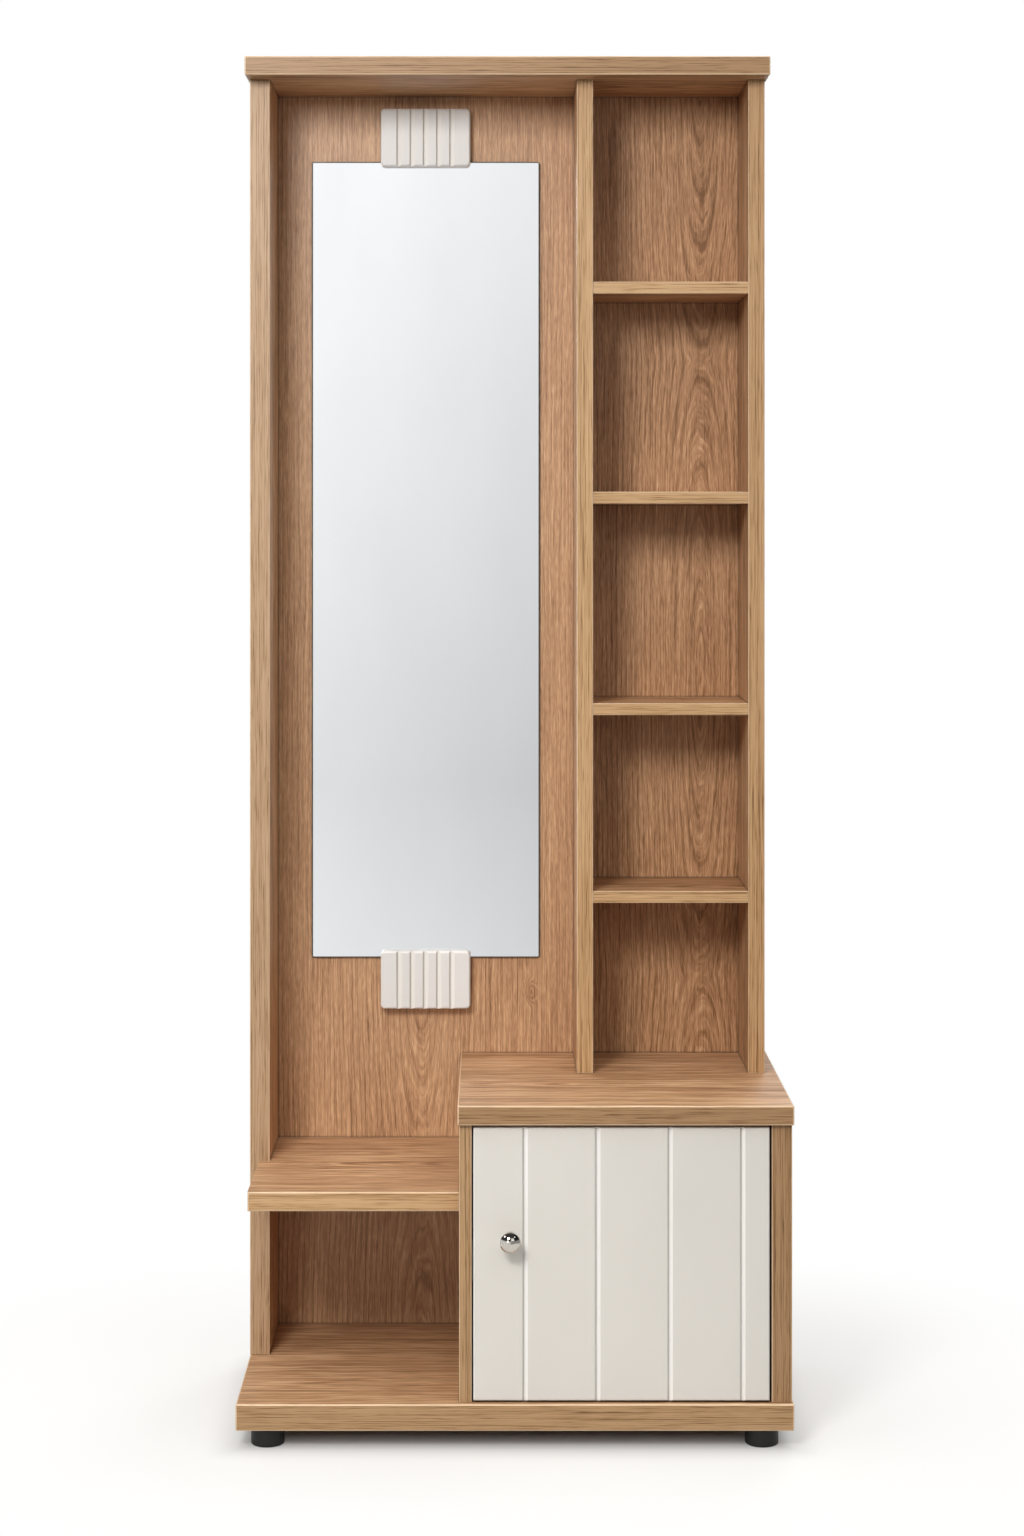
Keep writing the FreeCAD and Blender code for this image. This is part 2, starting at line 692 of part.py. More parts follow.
shelf_back_x = (divider_right - s.shelf_back_tongue, right_inner + s.shelf_back_tongue)
shelf_back_y = (shelf_rear, rear - s.shelf_back_inset)
play = s.shelf_back_play
back_groove = block("shelf_back_groove", (shelf_back_x[0] - play, shelf_back_x[1] + play),
                    (shelf_back_y[0] - play, shelf_back_y[1] + play),
                    (worktop_over - s.overrun, top_under + s.overrun))
keep("shelf_back", block("shelf_back", shelf_back_x, shelf_back_y, tower_z))
tower_holes = [back_groove, top_holes, upright_dowel_holes, shelf_dowel_holes]
divider_blank = block("divider_blank", divider_x, upright_y, tower_z)
right_blank = block("right_side_blank", right_x, upright_y, tower_z)
cut("divider", rounded(divider_blank, s.panel_round, on_front), tower_holes)
cut("right_side", rounded(right_blank, s.panel_round, on_front), tower_holes)
for number, span in sorted(shelf_spans.items()):
    shelf_blank = block(f"shelf_{number}_blank", shelf_x, shelf_y, span)
    cut(f"shelf_{number}", rounded(shelf_blank, s.panel_round, on_front), [shelf_dowel_holes])

top_blank = block("top_blank", (base_left - s.top_side_overhang, right_outer + s.top_side_overhang),
                  (upright_front - s.top_front_overhang, rear), (top_under, top_over))
cut("top_board", rounded(top_blank, s.board_round, on_front_or_ends), [top_holes])

# Mirror on strips of foam tape, held at both ends by fluted brackets
mirror_middle = middle(mirror_bay_x)
mirror_x = (mirror_middle - s.mirror_width / 2, mirror_middle + s.mirror_width / 2)
mirror_z = (worktop_over + s.mirror_rise, worktop_over + s.mirror_rise + s.mirror_height)
glass_back = back_front - s.tape_thick
glass_front = glass_back - s.mirror_thick
glass_blank = block("mirror_blank", mirror_x, (glass_front, glass_back), mirror_z)
glass_pane = rounded(glass_blank, s.mirror_corner, through_depth)
keep("mirror_glass", rounded(glass_pane, s.mirror_arris, on_front, "Part::Chamfer"))
strips = []
for a in tape_width_shares:
    for b in tape_height_shares:
        x, z = along(mirror_x, a), along(mirror_z, b)
        strips.append(block(f"tape_strip_{len(strips) + 1}", (x - s.tape_width / 2, x + s.tape_width / 2),
                            (glass_back, back_front), (z - s.tape_length / 2, z + s.tape_length / 2)))
keep("mirror_tape", group("mirror_tape", strips))

bracket_x = (mirror_middle - s.bracket_width / 2, mirror_middle + s.bracket_width / 2)
bracket_front = back_front - s.bracket_thick
upper_low = mirror_z[1] - s.upper_bracket_overlap
lower_high = mirror_z[0] + s.bracket_overlap
bracket_spans = {
    "upper": (upper_low, upper_low + s.bracket_height),
    "lower": (lower_high - s.bracket_height, lower_high),
}
rebate_x = (bracket_x[0] - s.overrun, bracket_x[1] + s.overrun)
rebate_y = (glass_front - s.bracket_play, back_front + s.overrun)
rebate_spans = {
    "upper": (upper_low - s.overrun, mirror_z[1] + s.bracket_play),
    "lower": (mirror_z[0] - s.bracket_play, lower_high + s.overrun),
}
bracket_screw_spots = []
for span in bracket_spans.values():
    for side in (-0.5, 0.5):
        bracket_screw_spots.append((mirror_middle + s.bracket_screw_spacing * side, rear, middle(span)))
bracket_holes = driven(wood_screw, "bracket_screws", [(BACK, bracket_screw_spots)])


def vee(name, x, front, depth, steep, slope, z):
    """A bar that cuts an upright groove into a front face, its left wall steep and its right wall sloped.
    x is the groove's middle on that face."""
    bar = doc.addObject("Part::Wedge", name)
    height = z[1] - z[0] + s.overrun * 2
    for axis, low, high in (("X", -steep, slope), ("Y", ZERO, depth), ("Z", ZERO, height),
                            ("X2", ZERO, ZERO), ("Z2", ZERO, height)):
        bind(bar, axis + "min", low)
        bind(bar, axis + "max", high)
    return put(bar, (x - (slope - steep) / 2, front, z[0] - s.overrun))


for place, span in bracket_spans.items():
    blank = block(f"{place}_bracket_blank", bracket_x, (bracket_front, back_front), span)
    shaped = rounded(rounded(blank, s.bracket_corner, through_depth), s.bracket_round, on_front)
    flutes = [vee(f"{place}_flute_{n + 1}", mirror_middle + s.flute_pitch * (n - (FLUTE_COUNT - 1) / 2),
                  bracket_front, s.flute_depth, s.flute_steep, s.flute_slope, span)
              for n in range(FLUTE_COUNT)]
    rebate = block(f"{place}_rebate", rebate_x, rebate_y, rebate_spans[place])
    cut(f"{place}_mirror_bracket", shaped, flutes + [rebate, bracket_holes])

mirror_back_blank = block("mirror_back_blank", mirror_bay_x, back_y, left_z)
cut("mirror_back", mirror_back_blank, [base_holes, top_holes, left_holes, back_holes, bracket_holes])

# Hinge cup and arm about the pin's axis: X to the cabinet side, Y to the back
door_rear = s.pin_from_back
cup_front = door_rear - s.cup_depth
flange_rear = door_rear + s.cup_flange_thick
wing_half = s.cup_wing_width / 2
cup_parts = [
    rod("cup_flange", (ZERO, door_rear, ZERO), BACK, s.cup_flange_radius, s.cup_flange_thick),
    rod("cup_shell", (ZERO, cup_front, ZERO), BACK, s.cup_radius, s.cup_depth),
    block("cup_wing", (-s.cup_screw_offset - wing_half, wing_half - s.cup_screw_offset),
          (door_rear, flange_rear), (-s.cup_wing_height / 2, s.cup_wing_height / 2)),
]
cup_solid = doc.addObject("Part::MultiFuse", "cup_solid")
cup_solid.Shapes = cup_parts
cup_floor = cup_front + s.cup_floor
cup_hollow = rod("cup_hollow", (ZERO, cup_floor, ZERO), BACK, s.cup_radius - s.cup_wall,
                 flange_rear - cup_floor + s.overrun)
pin_half = s.cup_radius - s.hole_play * 2
pin_bore = rod("cup_pin_bore", (ZERO, ZERO, -s.cup_radius - s.overrun), UP, s.pin_radius + s.pin_seat_play,
               (s.cup_radius + s.overrun) * 2)
cup_screw_places = [(-s.cup_screw_offset, flange_rear + small_pan.stand, s.cup_screw_spacing * side)
                    for side in (-0.5, 0.5)]
cup_bores = copies("cup_screw_bore", small_pan.hole, cup_screw_places, FreeCAD.Rotation(UP, BACK))
cup_model = doc.addObject("Part::Cut", "cup_model")
cup_model.Base = cup_solid
cup_model.Tool = group("cup_model_cutters", [cup_hollow, pin_bore] + cup_bores)
pin_model = turned("pin_model", [(0, -pin_half), (s.pin_radius, -pin_half), (s.pin_radius, pin_half),
                                 (0, pin_half)])

half_arm = s.arm_thick / 2
elbow = s.arm_reach * arm_across_share
edge_x = half_arm * arm_back_share
edge_y = half_arm * arm_across_share
slope_share = arm_back_share / arm_across_share
flat_right = hinge_side - s.plate_thick
flat_left = flat_right - s.arm_thick
neck_rear = s.arm_neck + s.arm_thick
arm_points = [
    (edge_x, edge_y), (-edge_x, -edge_y),
    (-elbow - half_arm, (elbow + half_arm - edge_x) * slope_share - edge_y),
    (-elbow - half_arm, neck_rear), (flat_left, neck_rear), (flat_left, s.arm_length),
    (flat_right, s.arm_length), (flat_right, s.arm_neck), (half_arm - elbow, s.arm_neck),
    (half_arm - elbow, (elbow - half_arm + edge_x) * slope_share + edge_y),
]
arm_model = doc.addObject("PartDesign::Body", "arm_model")
for feature, profile in (("arm_strip", outline(arm_model, "arm_outline", "XY_Plane", arm_points)),
                         ("arm_eye", ring(arm_model, "arm_eye_outline", "XY_Plane", s.eye_radius))):
    pad = arm_model.newObject("PartDesign::Pad", feature)
    pad.Profile = profile
    bind(pad, "Length", s.arm_height)
    pad.Midplane = True
    arm_model.Tip = pad
arm_pin_bore = rod("arm_pin_bore", (ZERO, ZERO, -s.arm_height), UP, s.pin_radius + s.pin_play,
                   s.arm_height * 2)
arm_screw_seat = (flat_left - arm_bolt.stand, s.arm_screw_place, ZERO)
arm_screw_bore = copies("arm_screw_bore", arm_bolt.hole, [arm_screw_seat], FreeCAD.Rotation(UP, LEFT))
arm_cut = doc.addObject("Part::Cut", "arm_cut")
arm_cut.Base = arm_model
arm_cut.Tool = group("arm_cutters", [arm_pin_bore] + arm_screw_bore)

plate_y = (s.plate_start, s.plate_start + s.plate_length)
plate_blank = block("hinge_plate_blank", (flat_right, hinge_side), plate_y,
                    (-s.plate_height / 2, s.plate_height / 2))
plate_middle = s.plate_start + s.plate_length / 2
plate_screw_places = [(flat_right - small_pan.stand, plate_middle, s.plate_screw_spacing * side)
                      for side in (-0.5, 0.5)]
plate_bores = copies("plate_screw_bore", small_pan.hole, plate_screw_places, FreeCAD.Rotation(UP, LEFT))
plate_arm_bore = copies("plate_arm_bore", arm_bolt.hole, [arm_screw_seat], FreeCAD.Rotation(UP, LEFT))
plate_model = doc.addObject("Part::Cut", "plate_model")
plate_model.Base = plate_blank
plate_model.Tool = group("plate_cutters", plate_bores + plate_arm_bore)

for place, height in hinge_heights.items():
    spot = [(hinge_x, hinge_y, height)]
    for label, model in (("hinge_cup", cup_model), ("hinge_pin", pin_model), ("hinge_arm", arm_cut),
                         ("hinge_plate", plate_model)):
        node = f"{place}_{label}"
        keep(node, group(node, copies(node + "_at", model, spot, None)))

hinge_rows = hinge_heights.values()
cup_screw_holes = driven(small_pan, "cup_screws", [(BACK, [
    (hinge_x - s.cup_screw_offset, hinge_y + flange_rear, height + s.cup_screw_spacing * side)
    for height in hinge_rows for side in (-0.5, 0.5)])])
plate_screw_holes = driven(small_pan, "hinge_plate_screws", [(LEFT, [
    (hinge_x + flat_right, hinge_y + plate_middle, height + s.plate_screw_spacing * side)
    for height in hinge_rows for side in (-0.5, 0.5)])])
arm_screw_holes = driven(arm_bolt, "hinge_arm_screws", [(LEFT, [
    (hinge_x + flat_left, hinge_y + s.arm_screw_place, height) for height in hinge_rows])])

# Magnetic catch on the left cabinet side, and the steel strike on the door
catch_middle = base_over + s.catch_rise
strike_x_middle = cabinet_left_inner + s.catch_width / 2
strike_rear = door_y[1] + s.strike_thick
pole_front = strike_rear + s.catch_air
catch_y = (pole_front + s.pole_stand, pole_front + s.pole_stand + s.catch_depth)
half_magnet = s.magnet_thick / 2
half_pole = s.pole_height / 2
pole_y = (pole_front, pole_front + s.pole_depth)
magnet_y = (pole_front + s.pole_stand, pole_front + s.pole_depth)
pole_z = (catch_middle - half_pole, catch_middle + half_pole)
keep("catch_magnet", block("catch_magnet", (strike_x_middle - half_magnet, strike_x_middle + half_magnet),
                           magnet_y, pole_z))
pole_left = (strike_x_middle - half_magnet - s.pole_thick, strike_x_middle - half_magnet)
pole_right = (strike_x_middle + half_magnet, strike_x_middle + half_magnet + s.pole_thick)
keep("catch_poles", group("catch_poles", [block("left_pole", pole_left, pole_y, pole_z),
                                          block("right_pole", pole_right, pole_y, pole_z)]))
catch_blank = block("catch_blank", (cabinet_left_inner, cabinet_left_inner + s.catch_width), catch_y,
                    (catch_middle - s.catch_height / 2, catch_middle + s.catch_height / 2))
catch_slot = block("catch_slot", (pole_left[0] - s.catch_play, pole_right[1] + s.catch_play),
                   (catch_y[0] - s.overrun, pole_y[1] + s.catch_play),
                   (pole_z[0] - s.catch_play, pole_z[1] + s.catch_play))
catch_seat = cabinet_left_inner + s.catch_ear
catch_screw_spots = [(catch_seat, middle(catch_y), catch_middle + s.catch_screw_spacing * side)
                     for side in (-0.5, 0.5)]
catch_holes = driven(small_pan, "catch_screws", [(RIGHT, catch_screw_spots)])
catch_wells = [rod(f"catch_well_{n}", spot, RIGHT, s.catch_screw_room, s.catch_width + s.overrun)
               for n, spot in enumerate(catch_screw_spots, start=1)]
cut("catch_housing", catch_blank, [catch_slot, catch_holes] + catch_wells)
strike_blank = block("strike_blank", (strike_x_middle - s.strike_width / 2 + s.door_gap_left,
                                      strike_x_middle + s.strike_width / 2 + s.door_gap_left),
                     (door_y[1], strike_rear),
                     (catch_middle - s.strike_height / 2, catch_middle + s.strike_height / 2))
strike_holes = driven(small_flush, "strike_screw", [
    (BACK, [(strike_x_middle + s.door_gap_left, strike_rear, catch_middle)])])
cut("strike_plate", strike_blank, [strike_holes])

cut("cabinet_left_side", rounded(cabinet_left_blank, s.panel_round, on_front),
    [base_holes, back_holes, ledge_holes, cam_holes, bolt_holes, catch_holes])
cut("cabinet_right_side", rounded(cabinet_right_blank, s.panel_round, on_front),
    [base_holes, right_holes, cam_holes, bolt_holes, plate_screw_holes])

# Knob: a domed head with a rounded rim, tapered at the back to its neck, on a small foot
knob_x = door_x[0] + s.knob_from_edge
knob_z = door_z[0] + s.knob_rise
knob_holes = driven(knob_bolt, "knob_screw", [(BACK, [(knob_x, door_y[1], knob_z)])])
knob_front = door_y[0] - s.knob_projection
head_rear = knob_front + s.knob_head_depth
dome = doc.addObject("Part::Sphere", "knob_dome")
bind(dome, "Radius", s.knob_dome_radius)
put(dome, (knob_x, knob_front + s.knob_dome_radius, knob_z))
knob_head = doc.addObject("Part::Common", "knob_head")
knob_head.Base = dome
knob_head.Tool = rod("knob_rim", (knob_x, head_rear, knob_z), FRONT, s.knob_radius,
                     s.knob_head_depth + s.overrun)
knob_back = doc.addObject("Part::Cone", "knob_back")
for prop, length in (("Radius1", s.knob_back_radius), ("Radius2", s.knob_neck_radius),
                     ("Height", s.knob_back_length)):
    bind(knob_back, prop, length)
put(knob_back, (knob_x, head_rear, knob_z), FreeCAD.Rotation(UP, BACK))


def round_the_axis(edge, box):
    return edge.isClosed()


knob_solid = doc.addObject("Part::MultiFuse", "knob_solid")
knob_solid.Shapes = [
    rounded(knob_head, s.knob_rim_round, round_the_axis),
    knob_back,
    rod("knob_neck", (knob_x, door_y[0], knob_z), FRONT, s.knob_neck_radius, door_y[0] - head_rear),
    rod("knob_foot", (knob_x, door_y[0], knob_z), FRONT, s.knob_foot_radius, s.knob_foot_thick),
]
cut("door_knob", knob_solid, [knob_holes])

# Door with upright grooves and the bores for its hinges
door_blank = block("door_blank", door_x, door_y, door_z)
door_cutters = [vee(f"door_groove_{n + 1}", door_x[0] + s.groove_first + s.groove_pitch * n, door_y[0],
                    s.groove_depth, s.groove_steep, s.groove_slope, door_z) for n in range(GROOVE_COUNT)]
for place, height in hinge_heights.items():
    door_cutters.append(rod(f"{place}_cup_bore", (hinge_x, door_y[1] + s.overrun, height), FRONT,
                            s.cup_radius + s.hole_play, s.cup_depth + s.hole_play + s.overrun))
cut("door_panel", rounded(door_blank, s.door_round, on_front),
    door_cutters + [cup_screw_holes, knob_holes, strike_holes])

# Every object has to be sound before the pieces are written
doc.recompute()
faults = [thing.Name for thing in doc.Objects if {"Invalid", "Error"} & set(thing.State)]
faults += [label for label, thing in pieces.items() if thing.Shape.isNull() or not thing.Shape.isValid()]
faults += [label for label, thing in pieces.items() if not thing.Shape.Solids]
if faults:
    raise RuntimeError("unsound: " + ", ".join(faults))
os.makedirs("parts", exist_ok=True)
for label, thing in pieces.items():
    thing.Shape.exportStep(f"parts/{label}.step")
print(len(pieces), "pieces")
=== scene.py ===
# Dressing unit with mirror: the finish of every piece, the studio and the camera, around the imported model
import math

import bpy
import mathutils
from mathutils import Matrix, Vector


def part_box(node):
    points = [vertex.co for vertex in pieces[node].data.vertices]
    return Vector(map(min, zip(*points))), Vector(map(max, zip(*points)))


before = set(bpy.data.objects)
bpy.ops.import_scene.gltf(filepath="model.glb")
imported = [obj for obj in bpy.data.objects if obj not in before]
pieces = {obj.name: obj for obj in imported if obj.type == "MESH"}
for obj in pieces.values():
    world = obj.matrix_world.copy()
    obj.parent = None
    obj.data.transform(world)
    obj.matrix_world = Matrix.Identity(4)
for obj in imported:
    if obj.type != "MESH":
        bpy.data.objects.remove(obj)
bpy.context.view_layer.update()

MM = 0.001


def linear(colour):
    """An sRGB hex colour as the linear red, green, blue and alpha of a shader's socket."""
    channels = [int(colour[at:at + 2], 16) / 255 for at in (1, 3, 5)]
    return [c / 12.92 if c <= 0.04045 else ((c + 0.055) / 1.055) ** 2.4 for c in channels] + [1.0]


def add(tree, kind, inputs=(), stops=(), **settings):
    """Adds a node: settings are its own, inputs maps its sockets to values or to the sockets that feed them."""
    made = tree.nodes.new(kind)
    for name, value in settings.items():
        setattr(made, name, value)
    for socket, value in dict(inputs).items():
        if isinstance(value, bpy.types.NodeSocket):
            tree.links.new(value, made.inputs[socket])
        else:
            made.inputs[socket].default_value = value
    for number, (place, colour) in enumerate(stops):
        ramp = made.color_ramp.elements
        stop = ramp[number] if number < 2 else ramp.new(place)
        stop.position = place
        stop.color = linear(colour)
    return made


def new_finish(name, inputs):
    """A material with one surface shader, and the tree that the rest of its nodes go into."""
    material = bpy.data.materials.new(name)
    material.use_nodes = True
    tree = material.node_tree
    tree.nodes.clear()
    shader = add(tree, "ShaderNodeBsdfPrincipled", inputs)
    add(tree, "ShaderNodeOutputMaterial", {"Surface": shader.outputs["BSDF"]})
    return material, tree, shader


def flecks(tree, place, size_mm, detail=2.0, rough=0.5):
    """Uneven flecks of a real size in millimetres along each axis of place, from 0 to 1."""
    sized = add(tree, "ShaderNodeVectorMath", {0: place, 1: [1 / (size * MM) for size in size_mm]},
                operation="MULTIPLY")
    return add(tree, "ShaderNodeTexNoise", {"Vector": sized.outputs["Vector"], "Scale": 1.0, "Detail": detail,
                                            "Roughness": rough})


def total(tree, *weighted):
    """The sum of values, each with its weight."""
    so_far = 0.0
    for value, weight in weighted:
        so_far = add(tree, "ShaderNodeMath", {0: value, 1: weight, 2: so_far},
                     operation="MULTIPLY_ADD").outputs["Value"]
    return so_far


def relief(tree, shader, height, depth_mm, strength):
    """Lets height shape the shader's normal, as if the surface rose and fell by depth_mm."""
    bump = add(tree, "ShaderNodeBump", {"Height": height, "Distance": depth_mm * MM, "Strength": strength})
    tree.links.new(bump.outputs["Normal"], shader.inputs["Normal"])


def board_place(tree, axes, shift):
    """Object coordinates turned so that X runs across the grain, Y through the board and Z along the grain."""
    spot = add(tree, "ShaderNodeTexCoord").outputs["Object"]
    split = add(tree, "ShaderNodeSeparateXYZ", {"Vector": spot})
    turned = add(tree, "ShaderNodeCombineXYZ", {to: split.outputs[axis] for to, axis in zip("XYZ", axes)})
    moved = add(tree, "ShaderNodeVectorMath", {0: turned.outputs["Vector"], 1: shift}, operation="ADD")
    return turned.outputs["Vector"], moved.outputs["Vector"]


def scaled(tree, place, by, onto=(0.0, 0.0, 0.0)):
    """place times by, plus onto, axis by axis."""
    return add(tree, "ShaderNodeVectorMath", {0: place, 1: by, 2: onto},
               operation="MULTIPLY_ADD").outputs["Vector"]


def clipped(tree, value, low, high, to_low=0.0, to_high=1.0):
    """A value stretched from one range to another, and held at its ends."""
    return add(tree, "ShaderNodeMapRange", {"Value": value, "From Min": low, "From Max": high, "To Min": to_low,
                                            "To Max": to_high}).outputs["Result"]


# How far the painted shade of joints, corners and grooves reaches, and between which shares of open space
CORNER_SHADE_MM = 4.0
CORNER_SHADE_SPACE = (0.45, 0.8)


def shaded_in_corners(tree, colour, deepest):
    """The colour with painted shade from ambient occlusion in joints, corners and grooves, down to a deepest
    share of its level.
    """
    room = add(tree, "ShaderNodeAmbientOcclusion", {"Distance": CORNER_SHADE_MM * MM}, samples=6).outputs["AO"]
    level = clipped(tree, room, *CORNER_SHADE_SPACE, deepest, 1.0)
    grey = add(tree, "ShaderNodeCombineColor", {"Red": level, "Green": level, "Blue": level}).outputs["Color"]
    return add(tree, "ShaderNodeMix", {"Factor": 1.0, "A": colour, "B": grey}, data_type="RGBA",
               blend_type="MULTIPLY").outputs["Result"]


# Oak decor paper pressed on chipboard under melamine resin: a printed figure of long arches and fine
# streaks, short dark pores and pale rays, dull and slightly open, so it gives a soft broad sheen and no clear
# reflection.
DECOR_STOPS = ((0.0, "#DEB88F"), (1.0, "#815B39"), (0.28, "#CDA279"), (0.5, "#BA8E67"), (0.76, "#A17651"))
RING_MM = 7.0
LEAST_DEPTH_MM = 4.0
PITH_SWING_MM = 430.0
SLOW_SWAY_MM, QUICK_SWAY_MM = 9.0, 1.6
KNOT_MM = (13.0, 24.0)
KNOT_RINGS = 3.0
# The print's parts in millimetres: across the grain, through the board and along the grain
SLOW_BEND, QUICK_BEND = (110, 110, 520), (13, 13, 46)
WAVER, CLOUD = (16, 90, 130), (46, 46, 320)
STREAK, FIBRE, HAIR = (4.6, 60, 150), (1.7, 40, 90), (1.1, 20, 12)
GRAIN, PIT, PALE_RAY = (1.2, 20, 300), (1.1, 15, 22), (1.1, 15, 34)
# The part of a ring, from its pale to its dark end, that is dark late wood
LATE_WOOD = (0.26, 0.5)
# How much each part darkens the print
FIGURE_TONE, STREAK_TONE, FIBRE_TONE, HAIR_TONE = 0.22, 0.2, 0.62, 0.47
GRAIN_TONE, PIT_TONE, PALE_RAY_TONE, KNOT_TONE = 0.18, 0.1, -0.16, 0.2
# The deepest share of the decor's level in its painted corner shade
DECOR_CORNER_SHADE = 0.3


def oak_decor(name, axes, seed, sheen, heart_mm, pith_mm, arch_mm, deeper=0.0, knot_mm=None):
    """The growth rings lie round a pith that swings in and out of the board. heart_mm is where it runs across
    the board, pith_mm where along the board it meets the face, and arch_mm how far apart the rings' arches lie
    along the board. deeper shifts the whole board's tone. knot_mm is a knot's place across and along."""
    material, tree, shader = new_finish(name, {"IOR": 1.5, "Roughness": 0.5, "Specular IOR Level": sheen})
    place, moved = board_place(tree, axes, [seed * 3.17, seed * 1.31, seed * 2.23])
    slow = flecks(tree, moved, SLOW_BEND, 1.0).outputs["Fac"]
    quick = flecks(tree, moved, QUICK_BEND, 1.0).outputs["Fac"]
    sway = total(tree, (slow, SLOW_SWAY_MM * MM), (quick, QUICK_SWAY_MM * MM))
    aside = add(tree, "ShaderNodeCombineXYZ", {"X": sway}).outputs["Vector"]
    bent = add(tree, "ShaderNodeVectorMath", {0: place, 1: aside}, operation="ADD").outputs["Vector"]

    heart = heart_mm + (SLOW_SWAY_MM + QUICK_SWAY_MM) / 2
    on_board = add(tree, "ShaderNodeSeparateXYZ", {"Vector": bent}).outputs
    along = add(tree, "ShaderNodeMath", {0: total(tree, (on_board["Z"], 1.0), (1.0, -pith_mm * MM)),
                                         1: PITH_SWING_MM * MM}, operation="PINGPONG").outputs["Value"]
    aside_of_pith = total(tree, (on_board["X"], 1.0), (1.0, -heart * MM))
    under_pith = total(tree, (along, RING_MM / arch_mm))
    from_pith = add(tree, "ShaderNodeCombineXYZ", {"X": aside_of_pith, "Y": LEAST_DEPTH_MM * MM,
                                                   "Z": under_pith}).outputs["Vector"]
    radius = add(tree, "ShaderNodeVectorMath", {0: from_pith}, operation="LENGTH").outputs["Value"]
    drawn = add(tree, "ShaderNodeVectorMath", {0: bent, 1: [seed * 0.71, seed * 1.9, seed * 1.1]},
                operation="ADD").outputs["Vector"]
    waver = flecks(tree, drawn, WAVER, 2.0).outputs["Fac"]
    ring_parts = [(radius, 1 / (RING_MM * MM)), (waver, 0.8)]
    if knot_mm:
        across, along = KNOT_MM
        off = scaled(tree, bent, [1 / (across * MM), 0.0, 1 / (along * MM)],
                     [-(knot_mm[0] + heart - heart_mm) / across, 0.0, -knot_mm[1] / along])
        apart = add(tree, "ShaderNodeVectorMath", {0: off}, operation="LENGTH").outputs["Value"]
        eye = add(tree, "ShaderNodeMapRange", {"Value": apart, "To Min": 1.0, "To Max": 0.0},
                  interpolation_type="SMOOTHSTEP").outputs["Result"]
        ring_parts.append((eye, KNOT_RINGS))
    ring = total(tree, *ring_parts)
    in_ring = add(tree, "ShaderNodeMath", {0: ring, 1: 0.5}, operation="PINGPONG").outputs["Value"]
    late_wood = clipped(tree, in_ring, *LATE_WOOD)
    # Streaks, fibres and rays follow the rings, so they lean along the arches
    split = add(tree, "ShaderNodeSeparateXYZ", {"Vector": drawn}).outputs
    ringed = add(tree, "ShaderNodeCombineXYZ", {"X": total(tree, (ring, RING_MM * MM)), "Y": split["X"],
                                                "Z": split["Z"]}).outputs["Vector"]

    cloud = flecks(tree, moved, CLOUD, 2.0).outputs["Fac"]
    figure = add(tree, "ShaderNodeMath", {0: late_wood, 1: clipped(tree, cloud, 0.3, 0.65, 0.3, 1.0)},
                 operation="MULTIPLY").outputs["Value"]
    # Real pores and rays are about 0.3 mm wide; they are drawn 1 mm wide so that they show in the picture, and
    # more than twice that on boards that are seen aslant
    wide, long = (1.0, 1.0) if axes == BACKS else (2.5, 3.4)

    def drawn_flecks(spot, size_mm, detail=1.0, rough=0.5):
        across, through, along = size_mm
        return flecks(tree, spot, (across * wide, through, along * long), detail, rough).outputs["Fac"]

    streak = drawn_flecks(ringed, STREAK, 2.0)
    fibre = drawn_flecks(ringed, FIBRE, 2.0, 0.9)
    hair = drawn_flecks(drawn, HAIR)
    grain = clipped(tree, drawn_flecks(moved, GRAIN), 0.48, 0.72)
    pits = clipped(tree, drawn_flecks(drawn, PIT), 0.52, 0.7)
    beside = scaled(tree, ringed, [1.0, 1.0, 1.0], [0.33, 0.0, 0.57])
    pale_rays = clipped(tree, drawn_flecks(beside, PALE_RAY), 0.5, 0.7)
    tone_parts = [(figure, FIGURE_TONE), (streak, STREAK_TONE), (fibre, FIBRE_TONE), (hair, HAIR_TONE),
                  (grain, GRAIN_TONE), (cloud, CLOUD_SHARE[axes]), (pits, PIT_TONE),
                  (pale_rays, PALE_RAY_TONE), (1.0, deeper)]
    if knot_mm:
        tone_parts.append((eye, KNOT_TONE))
    depth = clipped(tree, total(tree, *tone_parts), *TONE_RANGE[axes])
    colour = add(tree, "ShaderNodeValToRGB", {"Fac": depth}, DECOR_STOPS).outputs["Color"]
    # Painted shade from ambient occlusion darkens the decor in joints and corners
    tree.links.new(shaded_in_corners(tree, colour, DECOR_CORNER_SHADE), shader.inputs["Base Color"])
    tree.links.new(clipped(tree, pits, 0.0, 1.0, 0.45, 0.6), shader.inputs["Roughness"])
    relief(tree, shader, total(tree, (pits, -1.0), (hair, 0.4)), 0.1, 0.25)
    return material


# Oak edge band glued to the cut edges: straight veneer-like lines along the edge, lighter and greyer than the
# faces. Its rounded arris gets a paler finish: partly the scraped and buffed band's own tone, partly a painted
# highlight.
PALE_BAND = ((0.0, "#CBA57A"), (1.0, "#7D5A37"), (0.4, "#B89063"), (0.7, "#A17A4F"))
MIDDLE_BAND = ((0.0, "#BF9E7D"), (1.0, "#755437"), (0.4, "#AD8A66"), (0.7, "#957350"))
WARM_BAND = ((0.0, "#C19A6F"), (1.0, "#745030"), (0.4, "#AE855A"), (0.7, "#967047"))
DEEP_BAND = ((0.0, "#B9956D"), (1.0, "#6C4E30"), (0.4, "#A6825A"), (0.7, "#8E6A45"))
# The darkest band: painted shade for edges where less light falls
SHADE_DARKENED_BAND = ((0.0, "#AA8661"), (1.0, "#63462B"), (0.4, "#997550"), (0.7, "#835F3D"))
